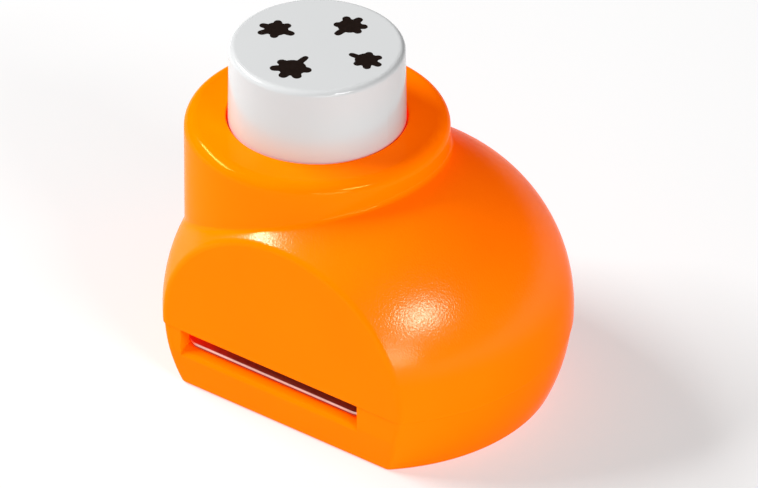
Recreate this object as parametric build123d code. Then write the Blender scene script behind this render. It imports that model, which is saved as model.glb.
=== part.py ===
from build123d import *
import math
import os

# Leaf craft punch, in millimetres, +Z up, with the paper slot facing -Y.
# The origin is on the ground, on the axis of the round body.
# The button's axis stands to the -X side of it.

# Push button
button_radius = 11.55
button_draft = 0.2
button_rise = 10.5
button_rim = 0.8
button_wall = 1.9
button_roof = 1.8
button_gap = 0.2
flange_thickness = 1.9
flange_gap = 0.3
flange_rest_gap = 0.05
socket_depth = 4.0
fit_gap = 0.05

# Collar ring round the button
collar_land = 5.6
collar_height = 35.6
collar_rim = 1.7
collar_wall = 2.65
collar_roof = 2.4
collar_blend = 0.7
hole_break = 0.15
key_width = 2.0
key_depth = 1.2
key_gap = 0.3
key_overlength = 0.7

# Round body and its flat front
dome_reach = 9.4
dome_centre = 3.85
belt_height = 9.7
collar_margin = 1.1
face_margin = 1.26
face_blend = 1.3
shell_wall = 2.0
parting_height = 8.5
body_step = 0.2
brow_blend = 0.15

# Base tray
front_taper = 0.8
lip_drop = 0.3
lip_fall = 0.7
lip_blend = 0.8
crease_rise = 0.1
crease_blend = 3.0
corner_blend = 1.1
foot_blend = 0.5
floor_thickness = 1.6
front_wall = 1.9
tray_wall = 2.9
tongue_side_gap = 0.15
tongue_height = 1.5
tongue_gap = 0.3
platform_wall = 1.6
window_gap = 0.4
window_corner = 1.5

# Paper slot and die set
slot_width = 28.7
slot_shift = 2.05
paper_gap = 1.95
plate_overlap = 0.5
plate_setback = 1.2
plate_corner = 2.3
die_thickness = 0.55
guide_thickness = 1.5
guide_setback = 2.3
stop_gap = 0.4
stop_width = 3.8
spacer_length = 16.0

# Leaf cutters
leaf_size = 4.6
leaf_pitch_share = 0.85
leaf_core_share = 0.29
lobe_width_share = 0.16
lobe_reach_shares = {0: 0.47, 52: 0.46, -50: 0.46, 108: 0.44, -106: 0.43, 180: 0.5}
cutter_gap = 0.06
holder_gap = 0.03
cutter_head_margin = 0.3
cutter_head_height = 0.8
tip_setback = 0.8
overtravel = 1.7

# Plunger stack above the cutters
holder_margin = 0.9
holder_thickness = 2.6
backing_thickness = 1.4
stem_wall = 3.2
stem_floor = 2.0

# Return spring and its seat
spring_clearance = 0.5
spring_wire = 1.0
spring_length = 11.4
spring_turns = 5
spring_end_share = 0.3
seat_thickness = 0.6
seat_rim = 0.6
seat_rim_height = 1.8

# Fasteners
die_screw_radius = 1.0
die_screw_head = 1.8
die_screw_length = 8.0
button_screw_radius = 0.8
button_screw_head = 1.45
button_screw_length = 9.0
button_screw_gap = 0.25
button_screw_angles = (45, 225)
housing_screw_radius = 1.25
housing_screw_head = 2.2
housing_screw_head_height = 1.4
housing_screw_length = 13.0
screw_recess_depth = 2.0
screw_recess_gap = 0.3
column_drop = 1.5
drive_reach_share = 0.55
drive_width_share = 0.13
drive_depth_share = 0.4
boss_wall = 1.5
boss_inset = 6.75
boss_height = 10.5
boss_web = 1.8
boss_angles = (-26, 47, 136)
dowel_radius = 0.8

# One overrun serves all cuts
overrun = 1.0

# Places worked out from the sizes above
collar_radius = button_radius + collar_land
body_radius = collar_radius + dome_reach
dome_arc = body_radius - dome_centre
button_x = collar_margin - dome_reach
face_y = -(collar_radius + face_margin)
dome_top = belt_height + dome_arc
bore_radius = collar_radius - collar_wall
bore_top = collar_height - collar_roof
button_top = collar_height + button_rise
flange_top = bore_top - flange_rest_gap
flange_low = flange_top - flange_thickness
leaf_pitch = leaf_size * leaf_pitch_share
cluster_radius = leaf_pitch + leaf_size / 2
cutter_head = leaf_size / 2 + cutter_head_margin
seat_height = parting_height - paper_gap - die_thickness
lip_height = seat_height - lip_drop
lip_front_height = lip_height - lip_fall
column_height = seat_height - column_drop
guide_top = parting_height + guide_thickness
spring_low = guide_top + seat_thickness
spring_high = spring_low + spring_length
spring_radius = cluster_radius + spring_clearance + spring_wire / 2
holder_radius = spring_radius + spring_wire / 2 + holder_margin
holder_top = spring_high + holder_thickness
stem_low = holder_top + backing_thickness
stem_high = button_top - button_roof
tip_height = parting_height + tip_setback
travel = tip_setback + paper_gap + die_thickness + overtravel
key_low = flange_low - travel - key_overlength
slot_left = -slot_shift - slot_width / 2
slot_right = -slot_shift + slot_width / 2
plate_left = slot_left - plate_overlap
plate_right = slot_right + plate_overlap
plate_front = face_y + plate_setback
plate_rear = cluster_radius + stop_gap + stop_width
guide_front = face_y + guide_setback
stop_front = plate_rear - stop_width
tray_front = face_y + front_wall
window_half = cluster_radius + window_gap
strip_middle = stop_width / 2
boss_ring = body_radius - boss_inset
boss_radius = housing_screw_radius + boss_wall
recess_radius = housing_screw_head + screw_recess_gap

# The button's screws stand on the diagonal, just clear of the cutters' heads
screw_spacing = cutter_head + button_screw_head + button_screw_gap
diagonal = leaf_pitch * math.cos(math.radians(button_screw_angles[0]))
button_screw_ring = diagonal + math.sqrt(screw_spacing ** 2 - diagonal ** 2)
stem_radius = button_screw_ring + stem_wall / 2

button_screw_places = [
    (button_x + button_screw_ring * math.cos(math.radians(a)), button_screw_ring * math.sin(math.radians(a)))
    for a in button_screw_angles
]
boss_places = [
    (boss_ring * math.cos(math.radians(a)), boss_ring * math.sin(math.radians(a)))
    for a in boss_angles
]
die_screw_places = [
    (plate_left + strip_middle, plate_rear - strip_middle),
    (plate_right - strip_middle, plate_rear - strip_middle),
    (plate_right - strip_middle, stop_front - spacer_length + strip_middle),
]
dowel_places = [
    (button_x + cluster_radius, plate_rear - strip_middle),
    (plate_right - strip_middle, stop_front - spacer_length / 2),
]
leaf_names = {"leaf_punch_right": 0, "leaf_punch_rear": 90, "leaf_punch_left": 180, "leaf_punch_front": 270}


def rod(radius, x, y, low, high):
    """Upright cylinder between two heights."""
    return Pos(x, y, low) * Cylinder(radius, high - low, align=(Align.CENTER, Align.CENTER, Align.MIN))


def block(left, right, front, rear, low, high):
    """Upright box between six limits."""
    middle = ((left + right) / 2, (front + rear) / 2, (low + high) / 2)
    return Pos(*middle) * Box(right - left, rear - front, high - low)


def round_body(fall, rise, inset):
    """Slice of the round body from below its belt to above it, bounded by one arc turned about its axis."""
    radius = dome_arc - inset
    low = belt_height - fall
    high = belt_height + rise
    start = -math.asin(fall / radius)
    end = math.asin(rise / radius)

    def rim(angle):
        return (dome_centre + radius * math.cos(angle), 0, belt_height + radius * math.sin(angle))

    outline = Curve() + [
        Line((0, 0, low), rim(start)),
        ThreePointArc(rim(start), rim((start + end) / 2), rim(end)),
        Line(rim(end), (0, 0, high)),
        Line((0, 0, high), (0, 0, low)),
    ]
    return revolve(make_face(outline.edges()), Axis.Z)


def behind(front, low, high):
    """Space behind an upright plane, wide enough to hold the body."""
    return block(-body_radius - overrun, body_radius + overrun, front, body_radius + overrun, low, high)


def leaf(margin):
    """Lobed leaf outline, tip along +X, stalk along -X, grown by a margin."""
    width = leaf_size * lobe_width_share
    outline = Circle(leaf_size * leaf_core_share + margin)
    for angle, share in lobe_reach_shares.items():
        reach = leaf_size * share - width / 2
        outline += Rot(0, 0, angle) * Pos(reach / 2, 0) * SlotCenterToCenter(reach, width + 2 * margin)
    return outline


def leaf_column(angle, margin, low, high):
    """Upright leaf-section column at its place round the button's axis."""
    place = Pos(button_x, 0, low) * Rot(0, 0, angle) * Pos(leaf_pitch, 0)
    return place * extrude(leaf(margin), high - low)


def leaf_holes(body, margin, low, high):
    """Cut the four leaf holes."""
    for angle in leaf_names.values():
        body -= leaf_column(angle, margin, low, high)
    return body


def cross_drive(screw, head, x, y, face, up):
    """Cut the cross recess that the screwdriver fits."""
    reach = head * drive_reach_share
    width = head * drive_width_share
    depth = face - up * head * drive_depth_share
    outside = face + up * overrun
    low, high = min(depth, outside), max(depth, outside)
    screw -= block(x - reach, x + reach, y - width, y + width, low, high)
    screw -= block(x - width, x + width, y - reach, y + reach, low, high)
    return screw


def sunk_form(radius, head, length, x, y, face, up):
    """Countersunk form; face is the height of its flat end, up is 1 for a head on top."""
    height = head - radius
    cone = Pos(x, y, face - up * height / 2) * Cone(
        head if up < 0 else radius, radius if up < 0 else head, height)
    shank_end = face - up * length
    return cone + rod(radius, x, y, min(face - up * height, shank_end), max(face - up * height, shank_end))


def sunk_screw(radius, head, length, x, y, face, up):
    """Countersunk screw with a cross recess."""
    return cross_drive(sunk_form(radius, head, length, x, y, face, up), head, x, y, face, up)


def sunk_holes(body, radius, head, depth, places, face, up, gap):
    """Cut matching countersunk holes."""
    for x, y in places:
        body -= sunk_form(radius + gap, head + gap, depth, x, y, face + up * fit_gap / 2, up)
    return body


def make_top_housing():
    """Moulded shell: dome, collar ring, flat front, key ribs and screw bosses."""
    parting_fall = belt_height - parting_height
    dome = round_body(parting_fall, dome_arc, 0) & behind(face_y, parting_height, dome_top)
    crease = dome.edges().filter_by_position(Axis.Y, face_y - fit_gap, face_y + fit_gap).sort_by(Axis.Z)[-1:]
    dome = fillet(crease, face_blend)
    collar = rod(collar_radius, button_x, 0, parting_height, collar_height)
    collar = fillet(collar.edges().group_by(Axis.Z)[-1], collar_rim)
    outer = dome + collar
    seam = new_edges(dome, collar, combined=outer)
    outer = fillet(seam, collar_blend)

    inner_top = dome_top - shell_wall
    cavity = round_body(parting_fall + overrun, dome_arc - shell_wall, shell_wall)
    cavity &= behind(face_y + shell_wall, parting_height - overrun, inner_top)
    shell = outer - cavity - rod(bore_radius, button_x, 0, parting_height - overrun, bore_top)
    hole_radius = button_radius + button_gap
    shell -= rod(hole_radius, button_x, 0, bore_top - overrun, button_top + overrun)
    edge_break = Cone(hole_radius, hole_radius + hole_break, hole_break)
    shell -= Pos(button_x, 0, collar_height - hole_break / 2) * edge_break

    for side in (-1, 1):
        near = side * (bore_radius - key_depth)
        far = side * (bore_radius + overrun / 2)
        shell += block(button_x - key_width / 2, button_x + key_width / 2, min(near, far), max(near, far),
                       key_low, bore_top)

    web_low = parting_height + tongue_height + tongue_gap
    boss_top = parting_height + boss_height
    pilot_radius = housing_screw_radius + fit_gap
    for (x, y), angle in zip(boss_places, boss_angles):
        web = Rot(0, 0, angle) * block(boss_ring, body_radius, -boss_web / 2, boss_web / 2, web_low, boss_top)
        shell += web & outer
        shell += rod(boss_radius, x, y, parting_height, boss_top)
        shell -= rod(pilot_radius, x, y, parting_height - overrun, boss_top - shell_wall / 2)
    brow = shell.edges().filter_by(Axis.X).group_by(Axis.Z)[0]
    return fillet(brow.group_by(Axis.Y)[0], brow_blend)


def make_base_tray():
    """Moulded tray: tapered foot, sloping slot lip, die platform, chip window and screw columns."""
    tray = round_body(belt_height, parting_height - belt_height, body_step)
    front = face_y + body_step / 2
    far = body_radius + overrun
    crease_height = lip_front_height + crease_rise
    side = Plane.YZ * Polyline(
        (front, parting_height),
        (front, crease_height),
        (face_y + front_taper, 0),
        (far, 0),
        (far, parting_height),
        close=True,
    )
    tray &= extrude(make_face(side.edges()), far, both=True)

    mouth = front - overrun
    mouth_height = lip_front_height - overrun * lip_fall / (tray_front - front)
    slot_top = parting_height + overrun
    slot = Plane.YZ * Polyline(
        (mouth, mouth_height),
        (tray_front, lip_height),
        (tray_front, slot_top),
        (mouth, slot_top),
        close=True,
    )
    tray -= Pos(slot_left, 0, 0) * extrude(make_face(slot.edges()), slot_width)
    lip = tray.edges().filter_by(Axis.X).filter_by_position(Axis.Y, face_y - fit_gap, front + fit_gap)
    lip = lip.filter_by_position(Axis.Z, lip_front_height - fit_gap, lip_front_height + fit_gap)
    tray = fillet(lip, lip_blend)
    creases = tray.edges().filter_by(Axis.X)
    creases = creases.filter_by_position(Axis.Z, crease_height - fit_gap, crease_height + fit_gap)
    tray = fillet(creases, crease_blend)
    corners = tray.edges().filter_by(Axis.X, reverse=True)
    corners = corners.filter_by(lambda e: e.center().Y < face_y + front_taper)
    tray = fillet(corners.filter_by(lambda e: abs(e.center().X) > fit_gap - slot_left), corner_blend)
    tray = fillet(tray.edges().group_by(Axis.Z)[0], foot_blend)

    tray_radius = body_radius - tray_wall - body_step
    tongue_top = parting_height + tongue_height
    tongue_radius = body_radius - shell_wall - tongue_side_gap
    tongue = rod(tongue_radius, 0, 0, parting_height - overrun, tongue_top)
    rear_only = stop_front - spacer_length
    tray += tongue & behind(rear_only, parting_height - overrun, tongue_top)
    cavity = rod(tray_radius, 0, 0, floor_thickness, tongue_top + overrun)
    cavity &= behind(tray_front, floor_thickness, tongue_top + overrun)
    tray -= cavity - block(plate_left, plate_right, tray_front - overrun, plate_rear, 0, seat_height)
    for x, y in boss_places:
        tray += rod(recess_radius + boss_wall, x, y, 0, column_height)
        tray += rod(boss_radius, x, y, 0, parting_height)

    window = block(button_x - window_half, button_x + window_half, -window_half, window_half,
                   -overrun, seat_height + overrun)
    tray -= fillet(window.edges().filter_by(Axis.Z), window_corner)
    core_left = button_x + window_half + platform_wall
    core_right = plate_right - stop_width
    tray -= block(core_left, core_right, tray_front + platform_wall, stop_front - platform_wall,
                  floor_thickness, seat_height + overrun)
    tray -= block(button_x - window_half, button_x + window_half, tray_front + platform_wall,
                  -window_half - platform_wall, floor_thickness, seat_height + overrun)

    for x, y in boss_places:
        tray -= rod(housing_screw_radius + fit_gap, x, y, -overrun, parting_height + overrun)
        tray -= rod(recess_radius, x, y, -overrun, screw_recess_depth)
    screw_low = guide_top - die_screw_length - fit_gap
    for x, y in die_screw_places:
        tray -= rod(die_screw_radius + fit_gap, x, y, screw_low, seat_height + overrun)
    return tray


def make_push_button():
    """Hollow cap with a retaining flange, key notches and a socket for the stem."""
    cap = Pos(button_x, 0, flange_low) * Cone(button_radius, button_radius - button_draft,
                                              button_top - flange_low,
                                              align=(Align.CENTER, Align.CENTER, Align.MIN))
    cap = fillet(cap.edges().group_by(Axis.Z)[-1], button_rim)
    cap += rod(bore_radius - flange_gap, button_x, 0, flange_low, flange_top)
    cap -= rod(button_radius - button_draft - button_wall, button_x, 0, flange_low - overrun,
               stem_high - socket_depth)
    cap -= rod(stem_radius + fit_gap, button_x, 0, flange_low - overrun, stem_high)
    notch = key_width / 2 + key_gap
    for side in (-1, 1):
        near = side * (bore_radius - key_depth - key_gap)
        far = side * (bore_radius + overrun)
        cap -= block(button_x - notch, button_x + notch, min(near, far), max(near, far),
                     flange_low - overrun, flange_top + fit_gap)
    return cap


def make_plunger_stem():
    """Hollow stem that carries the thrust from the button's roof to the backing disc."""
    stem = rod(stem_radius, button_x, 0, stem_low, stem_high)
    stem -= rod(stem_radius - stem_wall, button_x, 0, stem_low + stem_floor, stem_high + overrun)
    for x, y in button_screw_places:
        depth = button_screw_length - holder_thickness - backing_thickness
        stem -= rod(button_screw_radius + fit_gap, x, y, stem_low - overrun, stem_low + depth + fit_gap)
    return stem


def make_backing_disc():
    """Hard disc behind the cutters' heads."""
    disc = rod(holder_radius, button_x, 0, holder_top, stem_low)
    for x, y in button_screw_places:
        disc -= rod(button_screw_radius + fit_gap, x, y, holder_top - overrun, stem_low + overrun)
    return disc


def make_punch_holder():
    """Disc with leaf holes, head counterbores and countersunk screw holes."""
    disc = rod(holder_radius, button_x, 0, spring_high, holder_top)
    disc = leaf_holes(disc, holder_gap, spring_high - overrun, holder_top + overrun)
    head_low = holder_top - cutter_head_height - fit_gap
    for angle in leaf_names.values():
        x = button_x + leaf_pitch * math.cos(math.radians(angle))
        y = leaf_pitch * math.sin(math.radians(angle))
        disc -= rod(cutter_head + fit_gap, x, y, head_low, holder_top + overrun)
    return sunk_holes(disc, button_screw_radius, button_screw_head, holder_thickness + overrun,
                      button_screw_places, spring_high, -1, fit_gap)


def make_leaf_punch(angle):
    """Leaf-section cutter with a round head."""
    x = button_x + leaf_pitch * math.cos(math.radians(angle))
    y = leaf_pitch * math.sin(math.radians(angle))
    shank = leaf_column(angle, 0, tip_height, holder_top)
    return shank + rod(cutter_head, x, y, holder_top - cutter_head_height, holder_top)


def make_plate(front, low, high):
    """Flat steel plate with rounded front corners and screw and dowel holes."""
    plate = block(plate_left, plate_right, front, plate_rear, low, high)
    corners = plate.edges().filter_by(Axis.Z).group_by(Axis.Y)[0]
    plate = fillet(corners, plate_corner)
    for x, y in die_screw_places:
        plate -= rod(die_screw_radius + fit_gap, x, y, low - overrun, high + overrun)
    for x, y in dowel_places:
        plate -= rod(dowel_radius, x, y, low - overrun, high + overrun)
    return leaf_holes(plate, cutter_gap, low - overrun, high + overrun)


def make_guide_plate():
    """Upper plate that guides the cutters and strips the paper."""
    plate = make_plate(guide_front, parting_height, guide_top)
    return sunk_holes(plate, die_screw_radius, die_screw_head, guide_thickness + overrun,
                      die_screw_places, guide_top, 1, fit_gap)


def make_strip(left, right, front, rear):
    """Spacer strip between the two plates."""
    low = seat_height + die_thickness
    strip = block(left, right, front, rear, low, parting_height)
    for x, y in die_screw_places:
        strip -= rod(die_screw_radius + fit_gap, x, y, low - overrun, parting_height + overrun)
    for x, y in dowel_places:
        strip -= rod(dowel_radius, x, y, low - overrun, parting_height + overrun)
    return strip


def make_return_spring():
    """Round-wire compression spring with flat ground ends."""
    trim = spring_wire * spring_end_share
    rise = spring_length - spring_wire + 2 * trim
    start = spring_low + spring_wire / 2 - trim
    path = Pos(button_x, 0, start) * Helix(rise / spring_turns, rise, spring_radius)
    section = Plane(path @ 0, z_dir=path % 0) * Circle(spring_wire / 2)
    coil = sweep(section, path)
    reach = spring_radius + spring_wire
    return coil & rod(reach, button_x, 0, spring_low, spring_high)


def make_spring_seat():
    """Formed washer with an upstanding rim round the spring."""
    outer = holder_radius
    seat = rod(outer, button_x, 0, guide_top, spring_low)
    seat += rod(outer, button_x, 0, guide_top, guide_top + seat_rim_height)
    seat -= rod(outer - seat_rim, button_x, 0, spring_low, spring_high)
    seat -= rod(cluster_radius + fit_gap, button_x, 0, guide_top - overrun, spring_high)
    return seat


def make_housing_screws():
    """Pan-head screws from below."""
    screws = []
    for x, y in boss_places:
        head_low = screw_recess_depth - housing_screw_head_height
        head = rod(housing_screw_head, x, y, head_low, screw_recess_depth)
        head = fillet(head.edges().group_by(Axis.Z)[0], housing_screw_head_height / 2)
        head = cross_drive(head, housing_screw_head, x, y, head_low, -1)
        screws.append(head + rod(housing_screw_radius, x, y, screw_recess_depth,
                                 screw_recess_depth + housing_screw_length))
    return screws


parts = {
    "top_housing": make_top_housing(),
    "base_tray": make_base_tray(),
    "push_button": make_push_button(),
    "plunger_stem": make_plunger_stem(),
    "backing_disc": make_backing_disc(),
    "punch_holder": make_punch_holder(),
    "die_plate": make_plate(plate_front, seat_height, seat_height + die_thickness),
    "guide_plate": make_guide_plate(),
    "paper_stop": make_strip(plate_left, plate_right, stop_front, plate_rear),
    "spacer_strip": make_strip(plate_right - stop_width, plate_right, stop_front - spacer_length, stop_front),
    "return_spring": make_return_spring(),
    "spring_seat": make_spring_seat(),
    "button_screws": [
        sunk_screw(button_screw_radius, button_screw_head, button_screw_length, x, y, spring_high, -1)
        for x, y in button_screw_places
    ],
    "die_screws": [
        sunk_screw(die_screw_radius, die_screw_head, die_screw_length, x, y, guide_top, 1)
        for x, y in die_screw_places
    ],
    "dowel_pins": [rod(dowel_radius, x, y, seat_height, guide_top) for x, y in dowel_places],
    "housing_screws": make_housing_screws(),
}
for name, angle in leaf_names.items():
    parts[name] = make_leaf_punch(angle)

os.makedirs("parts", exist_ok=True)
for name, shape in parts.items():
    whole = Compound(children=shape) if isinstance(shape, list) else shape
    export_step(whole, "parts/" + name + ".step")
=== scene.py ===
import math

import bmesh
import bpy
from mathutils import Matrix, Vector


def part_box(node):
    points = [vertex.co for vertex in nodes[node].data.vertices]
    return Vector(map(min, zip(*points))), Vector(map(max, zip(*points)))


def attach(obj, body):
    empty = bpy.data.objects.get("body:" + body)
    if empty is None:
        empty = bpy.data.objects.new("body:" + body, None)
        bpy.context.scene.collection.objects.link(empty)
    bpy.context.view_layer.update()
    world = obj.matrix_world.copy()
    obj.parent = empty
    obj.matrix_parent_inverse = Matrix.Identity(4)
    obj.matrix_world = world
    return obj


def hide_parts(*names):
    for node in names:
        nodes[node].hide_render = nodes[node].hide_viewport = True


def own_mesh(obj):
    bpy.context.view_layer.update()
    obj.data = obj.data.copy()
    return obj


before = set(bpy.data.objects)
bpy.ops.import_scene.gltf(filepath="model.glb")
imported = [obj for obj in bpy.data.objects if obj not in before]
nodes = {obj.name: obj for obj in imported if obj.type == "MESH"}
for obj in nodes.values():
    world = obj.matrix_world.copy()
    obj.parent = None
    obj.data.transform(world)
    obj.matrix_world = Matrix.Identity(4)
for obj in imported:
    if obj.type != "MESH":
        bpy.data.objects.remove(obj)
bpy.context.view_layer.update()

MM = 0.001
UP = Vector((0.0, 0.0, 1.0))
WHITE = (1.0, 1.0, 1.0)
BLACK = (0.0, 0.0, 0.0)

# Places on the CAD model, in metres
BUTTON_AXIS = Vector((-0.0083, 0.0, 0.0))
BUTTON_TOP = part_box("push_button")[1].z
COLLAR_RADIUS = 0.01715
FACE_Y = -0.01841
PARTING_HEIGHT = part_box("top_housing")[0].z

# Orange plastic. Its red glows a little by itself, a painted glow that keeps the red from dimming
# in shade, and its green follows the light. The specular level is very low and the tints are far
# above 1, which keeps the lamps' highlights and hides most of the white floor's reflection at
# grazing angles.
ORANGE_DEEP = (0.86, 0.238, 0.0)
ORANGE_PALE = (0.86, 0.262, 0.0)
GLOW_COLOUR = (1.0, 0.01, 0.0)
GLOW = 0.50
ORANGE_SPECULAR = 0.005
SMOOTH_TINT = (22.0, 31.0, 5.6)
SMOOTH_ROUGHNESS = (0.11, 0.14)
# The spark-eroded grain is on the dome alone
GRAIN_TINT = (62.0, 100.0, 80.0)
GRAIN_ROUGHER = 0.10
GRAIN_SCALE = 4200.0
GRAIN_DEPTH = 0.000032
# Distances from the collar, the flat front and the parting line over which the grain sets in
COLLAR_FADE = (0.0001, 0.0008)
FACE_FADE = (0.0001, 0.0006)
PARTING_FADE = (0.0050, 0.0120)

# White plastic. Its skirt's colour sets in over these heights from the button's top; on the cap
# the skirt is painted cooler, with less red, to offset the orange light thrown up onto it from
# the shell.
WHITE_SPECULAR = 0.45
SKIRT_FADE = (-0.001, -0.008)
CLOUD_DARKER = 0.03
GLOSS_SPREAD = 0.03

# Noise scales of the plastics' clouds of colour, patches of gloss and faint waves
ORANGE_CLOUDS, ORANGE_PATCHES, ORANGE_WAVES = 90.0, 420.0, 260.0
WHITE_CLOUDS, WHITE_PATCHES, WHITE_WAVES = 120.0, 500.0, 240.0
WAVE_DEPTH = 0.00002
ORANGE_WAVE_STRENGTH = 0.5
WHITE_WAVE_STRENGTH = 0.4

# Ink
INK_SPECULAR = 0.15
INK_DEEP = (0.004, 0.002, 0.001)
INK_PALE = (0.018, 0.008, 0.005)
INK_ROUGHNESS = (0.40, 0.62)
INK_CLOUDS, INK_PATCHES, INK_SPECKS = 2600.0, 3400.0, 5200.0
SPECK_DEPTH = 0.00001
SPECK_STRENGTH = 0.6

# Steel
PLATE_GRAIN = (60.0, 4200.0, 4200.0)
LINE_DEPTH = 0.000012
LINE_STRENGTH = 0.7
LINE_SMOOTHER, LINE_ROUGHER = 0.07, 0.09
STAIN_SCALE = 260.0
STAIN_SPAN = (0.35, 0.7)
STAIN_SHARE = 0.72
# Painted shade on the die plate's front edge, dark red as if lit by the orange plastic round it:
# full up to the first share of the edge's thickness and gone from the second
EDGE_SHADE_COLOUR = (0.42, 0.055, 0.02)
EDGE_SHADE_SHARES = (0.30, 0.48)

# Most of a noise lies between these values
NOISE_SPAN = (0.3, 0.7)


class Graph:
    """The node tree of one material."""

    def __init__(self, name):
        self.material = bpy.data.materials.new(name)
        self.material.use_nodes = True
        self.tree = self.material.node_tree

    def add(self, kind, **values):
        node = self.tree.nodes.new(kind)
        for key, value in values.items():
            setattr(node, key, value)
        return node

    def link(self, source, target):
        self.tree.links.new(source, target)

    def put(self, socket, value):
        """Link a socket, or set a number or colour on it."""
        if isinstance(value, bpy.types.NodeSocket):
            self.link(value, socket)
        else:
            socket.default_value = value

    def calculate(self, operation, first, second=0.0):
        node = self.add("ShaderNodeMath", operation=operation)
        self.put(node.inputs[0], first)
        self.put(node.inputs[1], second)
        return node.outputs[0]

    def mix_colours(self, factor, first, second):
        node = self.add("ShaderNodeMix", data_type="RGBA")
        self.put(node.inputs["Factor"], factor)
        colours = [s for s in node.inputs if s.type == "RGBA"]
        for socket, value in zip(colours, (first, second)):
            self.put(socket, value if isinstance(value, bpy.types.NodeSocket) else (*value, 1.0))
        return [s for s in node.outputs if s.type == "RGBA"][0]


class Surface(Graph):
    """A Principled material whose patterns lie in the model's own frame."""

    def __init__(self, name, **settings):
        super().__init__(name)
        self.bsdf = self.tree.nodes["Principled BSDF"]
        for key, value in settings.items():
            self.set(key.replace("_", " "), value)
        self.coordinates = self.add("ShaderNodeTexCoord").outputs["Object"]

    def set(self, name, value):
        self.put(self.bsdf.inputs[name], value)

    def position(self):
        """The x, y and z of the point that is shaded, in metres."""
        node = self.add("ShaderNodeSeparateXYZ")
        self.link(self.coordinates, node.inputs[0])
        return node.outputs["X"], node.outputs["Y"], node.outputs["Z"]

    def stretched(self, scale):
        node = self.add("ShaderNodeMapping")
        self.link(self.coordinates, node.inputs["Vector"])
        node.inputs["Scale"].default_value = scale
        return node.outputs["Vector"]

    def noise(self, scale, detail=2.0, rough=0.5, vector=None):
        node = self.add("ShaderNodeTexNoise")
        self.link(vector or self.coordinates, node.inputs["Vector"])
        node.inputs["Scale"].default_value = scale
        node.inputs["Detail"].default_value = detail
        node.inputs["Roughness"].default_value = rough
        return node.outputs["Fac"]

    def ramp(self, value, start, end, at_start=0.0, at_end=1.0, smooth=False):
        node = self.add("ShaderNodeMapRange")
        node.interpolation_type = "SMOOTHSTEP" if smooth else "LINEAR"
        self.put(node.inputs["Value"], value)
        node.inputs["From Min"].default_value = start
        node.inputs["From Max"].default_value = end
        node.inputs["To Min"].default_value = at_start
        node.inputs["To Max"].default_value = at_end
        return node.outputs["Result"]

    def fade(self, value, origin, distances):
        """Smooth step from 0 to 1 between two distances from an origin."""
        first, last = distances
        return self.ramp(value, origin + first, origin + last, smooth=True)

    def uneven(self, noise, low, high):
        """A value that a noise moves between low and high."""
        return self.ramp(noise, *NOISE_SPAN, low, high)

    def bump(self, height, distance, strength, below=None):
        node = self.add("ShaderNodeBump")
        self.put(node.inputs["Strength"], strength)
        node.inputs["Distance"].default_value = distance
        self.link(height, node.inputs["Height"])
        if below is not None:
            self.link(below, node.inputs["Normal"])
        return node.outputs["Normal"]


def dome_mask(s):
    """1 on the dome, and 0 on the shell's collar, flat front and foot."""
    x, y, z = s.position()
    x = s.calculate("SUBTRACT", x, BUTTON_AXIS.x)
    squares = s.calculate("ADD", s.calculate("MULTIPLY", x, x), s.calculate("MULTIPLY", y, y))
    mask = s.fade(s.calculate("SQRT", squares), COLLAR_RADIUS, COLLAR_FADE)
    mask = s.calculate("MULTIPLY", mask, s.fade(y, FACE_Y, FACE_FADE))
    return s.calculate("MULTIPLY", mask, s.fade(z, PARTING_HEIGHT, PARTING_FADE))


def orange_plastic(name, grain_on_dome):
    """Glossy moulding with a painted red glow, with or without the dome's grain."""
    s = Surface(
        name,
        Specular_IOR_Level=ORANGE_SPECULAR,
        Specular_Tint=(*SMOOTH_TINT, 1.0),
        # Painted glow: the red shines by itself, so it stays bright in shade
        Emission_Color=(*GLOW_COLOUR, 1.0),
        Emission_Strength=GLOW,
    )
    cloud = s.noise(ORANGE_CLOUDS, detail=3.0)
    s.set("Base Color", s.mix_colours(cloud, ORANGE_DEEP, ORANGE_PALE))
    gloss = s.uneven(s.noise(ORANGE_PATCHES, detail=4.0), *SMOOTH_ROUGHNESS)
    relief = s.bump(s.noise(ORANGE_WAVES), WAVE_DEPTH, ORANGE_WAVE_STRENGTH)
    if grain_on_dome:
        dome = dome_mask(s)
        relief = s.bump(s.noise(GRAIN_SCALE, detail=1.0), GRAIN_DEPTH, dome, below=relief)
        gloss = s.calculate("ADD", gloss, s.calculate("MULTIPLY", dome, GRAIN_ROUGHER))
        s.set("Specular Tint", s.mix_colours(dome, SMOOTH_TINT, GRAIN_TINT))
    s.set("Roughness", gloss)
    s.set("Normal", relief)
    return s.material


def white_plastic(name, top, skirt, rough):
    """White moulding whose skirt may differ a little from its top, as painted light against
    bounce.
    """
    s = Surface(name, Specular_IOR_Level=WHITE_SPECULAR)
    height = s.position()[2]
    tone = s.mix_colours(s.fade(height, BUTTON_TOP, SKIRT_FADE), top, skirt)
    darker = s.mix_colours(CLOUD_DARKER, tone, BLACK)
    s.set("Base Color", s.mix_colours(s.noise(WHITE_CLOUDS, detail=3.0), darker, tone))
    patches = s.noise(WHITE_PATCHES, detail=3.0)
    s.set("Roughness", s.uneven(patches, rough - GLOSS_SPREAD, rough + GLOSS_SPREAD))
    s.set("Normal", s.bump(s.noise(WHITE_WAVES), WAVE_DEPTH, WHITE_WAVE_STRENGTH))
    return s.material


def ink(name):
    """Printed ink, almost black and unevenly matt."""
    s = Surface(name, Specular_IOR_Level=INK_SPECULAR)
    s.set("Base Color", s.mix_colours(s.noise(INK_CLOUDS, detail=4.0), INK_DEEP, INK_PALE))
    s.set("Roughness", s.uneven(s.noise(INK_PATCHES, detail=3.0), *INK_ROUGHNESS))
    s.set("Normal", s.bump(s.noise(INK_SPECKS, detail=3.0), SPECK_DEPTH, SPECK_STRENGTH))
    return s.material


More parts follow.
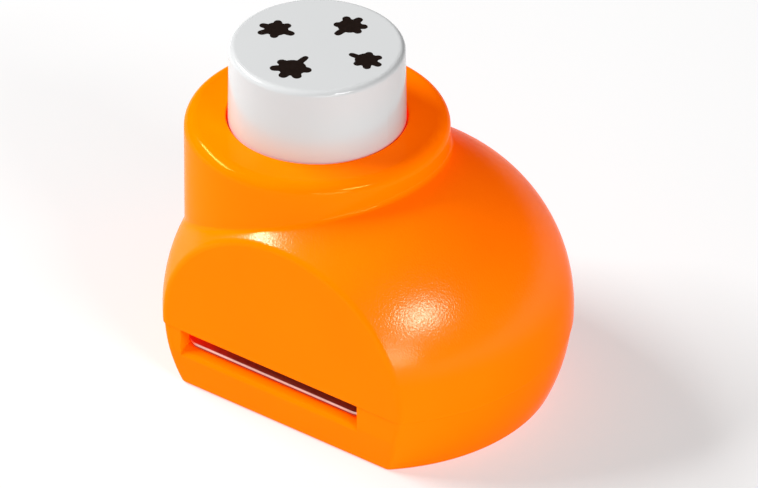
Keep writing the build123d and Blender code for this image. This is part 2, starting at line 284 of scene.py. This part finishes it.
def brushed_steel(name, colour, rough, grain=PLATE_GRAIN, shaded_edge=None):
    """Steel with fine lines; grain is the noise's scale along x, y and z, and shaded_edge gives
    the lowest and highest point of an edge whose underside gets painted dark red shade."""
    s = Surface(name, Metallic=1.0)
    stain = s.ramp(s.noise(STAIN_SCALE, detail=3.0), *STAIN_SPAN)
    finish = s.mix_colours(stain, colour, tuple(STAIN_SHARE * c for c in colour))
    # Painted shade: the edge turns dark red towards its underside
    if shaded_edge:
        low, top = shaded_edge
        distances = [share * (top - low) for share in EDGE_SHADE_SHARES]
        unshaded = s.fade(s.position()[2], low, distances)
        finish = s.mix_colours(unshaded, EDGE_SHADE_COLOUR, finish)
    s.set("Base Color", finish)
    lines = s.noise(1.0, detail=5.0, rough=0.65, vector=s.stretched(grain))
    s.set("Roughness", s.uneven(lines, rough - LINE_SMOOTHER, rough + LINE_ROUGHER))
    s.set("Normal", s.bump(lines, LINE_DEPTH, LINE_STRENGTH))
    return s.material


orange_shell = orange_plastic("orange_shell_plastic", grain_on_dome=True)
orange_base = orange_plastic("orange_base_plastic", grain_on_dome=False)
# The cap's skirt is painted cooler, with less red, to cancel the orange light the shell throws on
# it
white_cap = white_plastic(
    "white_cap_plastic", top=(0.735, 0.745, 0.748), skirt=(0.685, 0.775, 0.790), rough=0.18
)
white_stem = white_plastic(
    "white_stem_plastic", top=(0.62, 0.62, 0.60), skirt=(0.62, 0.62, 0.60), rough=0.38
)
leaf_ink = ink("leaf_mark_ink")
# The plates are painted warmer than bare steel, a painted reflection of the orange plastic round
# them
die_steel = brushed_steel(
    "die_steel_with_painted_edge_shade", (0.90, 0.62, 0.55), 0.42,
    # The die plate's edge gets painted shade towards its underside
    shaded_edge=[corner.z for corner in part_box("die_plate")],
)
plate_steel = brushed_steel("ground_plate_steel", (0.86, 0.56, 0.49), 0.42)
hard_steel = brushed_steel(
    "hardened_disc_steel", (0.36, 0.35, 0.35), 0.34, grain=(1500.0, 1500.0, 200.0)
)
cutter_steel = brushed_steel(
    "cutter_tool_steel", (0.55, 0.55, 0.57), 0.24, grain=(3600.0, 3600.0, 90.0)
)
spring_steel = brushed_steel(
    "spring_wire_steel", (0.46, 0.46, 0.48), 0.28, grain=(700.0, 700.0, 2600.0)
)
screw_steel = brushed_steel(
    "plated_screw_steel", (0.58, 0.57, 0.55), 0.30, grain=(1200.0, 1200.0, 1200.0)
)

FINISHES = {
    "top_housing": orange_shell,
    "base_tray": orange_base,
    "push_button": white_cap,
    "plunger_stem": white_stem,
    "die_plate": die_steel,
    "guide_plate": plate_steel,
    "paper_stop": plate_steel,
    "spacer_strip": plate_steel,
    "spring_seat": plate_steel,
    "backing_disc": hard_steel,
    "punch_holder": hard_steel,
    "leaf_punch_right": cutter_steel,
    "leaf_punch_rear": cutter_steel,
    "leaf_punch_left": cutter_steel,
    "leaf_punch_front": cutter_steel,
    "return_spring": spring_steel,
    "dowel_pins": screw_steel,
    "die_screws": screw_steel,
    "button_screws": screw_steel,
    "housing_screws": screw_steel,
}
for node_name, finish in FINISHES.items():
    nodes[node_name].data.materials.clear()
    nodes[node_name].data.materials.append(finish)


def mesh_object(name, bm, material):
    """Turn a bmesh into a named object of the scene."""
    mesh = bpy.data.meshes.new(name)
    bm.to_mesh(mesh)
    bm.free()
    mesh.materials.append(material)
    thing = bpy.data.objects.new(name, mesh)
    bpy.context.scene.collection.objects.link(thing)
    return thing


def ring_piece(name, rings, material, body, smooth=False):
    """A piece that rides on a body: rings of points, joined in turn and closed at both ends."""
    bm = bmesh.new()
    rings = [[bm.verts.new(point) for point in ring] for ring in rings]
    for first, second in zip(rings, rings[1:]):
        for j in range(len(first)):
            k = (j + 1) % len(first)
            bm.faces.new((first[j], first[k], second[k], second[j]))
    bm.faces.new(rings[0])
    bm.faces.new(rings[-1])
    for face in bm.faces:
        face.smooth = smooth
    bmesh.ops.recalc_face_normals(bm, faces=bm.faces)
    piece = mesh_object(name, bm, material)
    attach(piece, body)
    return piece


# Leaf marks printed on the button's top. Widths and reaches are shares of a leaf's length.
LEAF_CORE = 0.30
LOBE_HALF_WIDTH = 0.105
INK_BELOW = 0.00001
INK_ABOVE = 0.00002
# The outline is averaged over this many degrees to each side
EDGE_SOFTNESS = 3
SMALLEST_SINE = 1e-6
# name: x and y from the button's axis in mm, length in mm, turn in degrees, half width of the
# stalk, and each lobe's heading in degrees with its reach, the stalk last
MARKS = {
    "right": (7.12, 1.10, 4.95, 0, 0.088,
              ((0, 0.475), (56, 0.425), (113, 0.375), (-104, 0.395), (-50, 0.445), (185, 0.525))),
    "rear": (0.57, 6.10, 5.25, 90, 0.094,
             ((0, 0.455), (52, 0.440), (116, 0.405), (-104, 0.410), (-58, 0.440), (177, 0.535))),
    "left": (-6.45, -0.25, 5.15, 180, 0.105,
             ((11, 0.460), (62, 0.500), (118, 0.415), (-113, 0.415), (-60, 0.405), (188, 0.515))),
    "front": (0.78, -6.20, 6.05, 270, 0.074,
              ((5, 0.445), (55, 0.435), (112, 0.425), (-97, 0.410), (-50, 0.475), (182, 0.545))),
}


def lobe_reach(off, share, half):
    """Reach of one round-ended lobe at an angle off its heading."""
    if math.cos(off) <= 0:
        return 0.0
    tip_centre = share - half
    side = half / max(abs(math.sin(off)), SMALLEST_SINE)
    if side * math.cos(off) <= tip_centre:
        return side
    inside = half ** 2 - (tip_centre * math.sin(off)) ** 2
    return tip_centre * math.cos(off) + math.sqrt(inside) if inside > 0 else 0.0


def leaf_outline(stalk_half, lobes):
    """Reach of the leaf at each degree, with its corners softened."""
    sharp = []
    for degree in range(360):
        reach = LEAF_CORE
        for lobe in lobes:
            heading, share = lobe
            half = stalk_half if lobe == lobes[-1] else LOBE_HALF_WIDTH
            reach = max(reach, lobe_reach(math.radians(degree - heading), share, half))
        sharp.append(reach)
    span = range(-EDGE_SOFTNESS, EDGE_SOFTNESS + 1)
    return [sum(sharp[(degree + k) % 360] for k in span) / len(span) for degree in range(360)]


def leaf_rings(x, y, length, turn, stalk_half, lobes):
    """One mark's outline at the ink's bottom and at its top."""
    outline = []
    for degree, share in enumerate(leaf_outline(stalk_half, lobes)):
        heading = math.radians(degree + turn)
        reach = length * share
        place = Vector((x + reach * math.cos(heading), y + reach * math.sin(heading), 0.0))
        outline.append(BUTTON_AXIS + MM * place)
    heights = (BUTTON_TOP - INK_BELOW, BUTTON_TOP + INK_ABOVE)
    return [[point + height * UP for point in outline] for height in heights]


for name, mark in MARKS.items():
    ring_piece("leaf_mark_" + name, leaf_rings(*mark), leaf_ink, "plunger")


# Return spring: round wire with open turns between closed end turns that are ground flat
WIRE_RADIUS = 0.0005
OPEN_TURNS = 5.0
END_TURNS = 0.75
STEPS_PER_TURN = 64
WIRE_SIDES = 20
# Shares of the wire's radius: height of its centre over the ground face, and rise of an end turn
GROUND_HEIGHT = 0.55
END_RISE = 0.9
spring_low, spring_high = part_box("return_spring")


def spring_rings():
    """Rings round the coil's wire, cut flat at the spring's lowest and highest point."""
    coil_radius = (spring_high.x - spring_low.x) / 2 - WIRE_RADIUS
    turns = OPEN_TURNS + 2 * END_TURNS
    bottom = spring_low.z + GROUND_HEIGHT * WIRE_RADIUS
    top = spring_high.z - GROUND_HEIGHT * WIRE_RADIUS
    rise = END_RISE * WIRE_RADIUS
    rings = []
    for step in range(int(turns * STEPS_PER_TURN) + 1):
        turn = step / STEPS_PER_TURN
        opened = min(max((turn - END_TURNS) / OPEN_TURNS, 0.0), 1.0)
        first_end = min(turn / END_TURNS, 1.0)
        last_end = 1.0 - min((turns - turn) / END_TURNS, 1.0)
        height = bottom + (first_end + last_end) * rise + opened * (top - bottom - 2 * rise)
        angle = 2 * math.pi * turn
        out = Vector((math.cos(angle), math.sin(angle), 0.0))
        centre = BUTTON_AXIS + coil_radius * out + height * UP
        ring = []
        for side in range(WIRE_SIDES):
            around = 2 * math.pi * side / WIRE_SIDES
            point = centre + WIRE_RADIUS * (math.cos(around) * out + math.sin(around) * UP)
            point.z = min(max(point.z, spring_low.z), spring_high.z)
            ring.append(point)
        rings.append(ring)
    return rings


spring = ring_piece(
    "return_spring_coil", spring_rings(), spring_steel, "body", smooth=True
)
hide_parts("return_spring")
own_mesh(spring)


# Floor, a hair below the part so that the two faces don't coincide
FLOOR_SIZE = 6.0
FLOOR_HEIGHT = -0.00005
FLOOR_SEEN = (0.95, 0.95, 0.95)
FLOOR_UNSEEN = (0.80, 0.80, 0.80)
FLOOR_GLOW_SHARE = 0.45


def floor_material():
    """Pale floor that keeps the object's shadow. Seen by the camera, in a reflection or through
    glass, it is whiter and glows in part; to all other light it is plain."""
    graph = Graph("studio_floor")
    graph.tree.nodes.clear()
    path = graph.add("ShaderNodeLightPath").outputs
    seen = graph.calculate("MAXIMUM", path["Is Camera Ray"], path["Is Glossy Ray"])
    seen = graph.calculate("MAXIMUM", seen, path["Is Transmission Ray"])
    lit = graph.add("ShaderNodeBsdfDiffuse")
    graph.link(graph.mix_colours(seen, FLOOR_UNSEEN, FLOOR_SEEN), lit.inputs["Color"])
    glow = graph.add("ShaderNodeEmission")
    glow.inputs["Color"].default_value = (*WHITE, 1.0)
    glow.inputs["Strength"].default_value = 1.0
    mixed = graph.add("ShaderNodeMixShader")
    graph.link(graph.calculate("MULTIPLY", seen, FLOOR_GLOW_SHARE), mixed.inputs[0])
    graph.link(lit.outputs[0], mixed.inputs[1])
    graph.link(glow.outputs[0], mixed.inputs[2])
    output = graph.add("ShaderNodeOutputMaterial")
    graph.link(mixed.outputs[0], output.inputs["Surface"])
    return graph.material


floor_bm = bmesh.new()
bmesh.ops.create_grid(floor_bm, x_segments=1, y_segments=1, size=FLOOR_SIZE / 2)
floor = mesh_object("floor", floor_bm, floor_material())
floor.location = (0.0, 0.0, FLOOR_HEIGHT)

# World
AMBIENT = 0.02
world = bpy.data.worlds.new("studio")
bpy.context.scene.world = world
world.use_nodes = True
backdrop = world.node_tree.nodes["Background"]
backdrop.inputs["Color"].default_value = (*WHITE, 1.0)
backdrop.inputs["Strength"].default_value = AMBIENT

# Lamps: direction, distance, width, height and level
LAMP_AIM = Vector((0.0, 0.0, 0.018))
LAMPS = {
    "key_left": ((-0.735, -0.212, 0.645), 0.9, 0.60, 0.09, 1.28),
    "lamp_right": ((0.812, -0.282, 0.510), 0.9, 0.30, 0.06, 0.46),
    "front_fill": ((0.74, -0.66, 0.14), 1.2, 0.6, 0.24, 0.23),
}


def soft_box(name, direction, distance, width, height, level):
    """Area lamp aimed at the object. Level is the light on a surface that faces the lamp, where
    1 shows a colour as written; a lamp of level * pi^2 * distance^2 watts gives it."""
    lamp = bpy.data.lights.new(name, "AREA")
    lamp.shape = "RECTANGLE"
    lamp.size = width
    lamp.size_y = height
    lamp.energy = level * math.pi ** 2 * distance ** 2
    thing = bpy.data.objects.new(name, lamp)
    away = Vector(direction).normalized()
    thing.location = LAMP_AIM + distance * away
    thing.rotation_mode = "QUATERNION"
    thing.rotation_quaternion = away.to_track_quat("Z", "Y")
    bpy.context.scene.collection.objects.link(thing)


for lamp_name, settings in LAMPS.items():
    soft_box(lamp_name, *settings)

# Camera at the photograph's viewing angle
AZIMUTH, ELEVATION, ROLL = (math.radians(degrees) for degrees in (37.717, 33.528, 0.031))
AIM = Vector((-0.004229, 0.007713, 0.013133))
DISTANCE = 2.4
LENS = 882.19
SENSOR_WIDTH = 36.0
back = Vector((
    math.sin(AZIMUTH) * math.cos(ELEVATION),
    -math.cos(AZIMUTH) * math.cos(ELEVATION),
    math.sin(ELEVATION),
))
level_right = Vector((math.cos(AZIMUTH), math.sin(AZIMUTH), 0.0))
level_up = back.cross(level_right)
right = math.cos(ROLL) * level_right + math.sin(ROLL) * level_up
up = math.cos(ROLL) * level_up - math.sin(ROLL) * level_right
camera = bpy.data.objects.new("camera", bpy.data.cameras.new("camera"))
camera.data.lens = LENS
camera.data.sensor_width = SENSOR_WIDTH
camera.data.clip_start = 0.1
camera.data.clip_end = 20.0
camera.rotation_mode = "QUATERNION"
camera.rotation_quaternion = Matrix((right, up, back)).transposed().to_quaternion()
camera.location = AIM + DISTANCE * back
bpy.context.scene.collection.objects.link(camera)
bpy.context.scene.camera = camera

bpy.context.scene.view_settings.view_transform = "Standard"
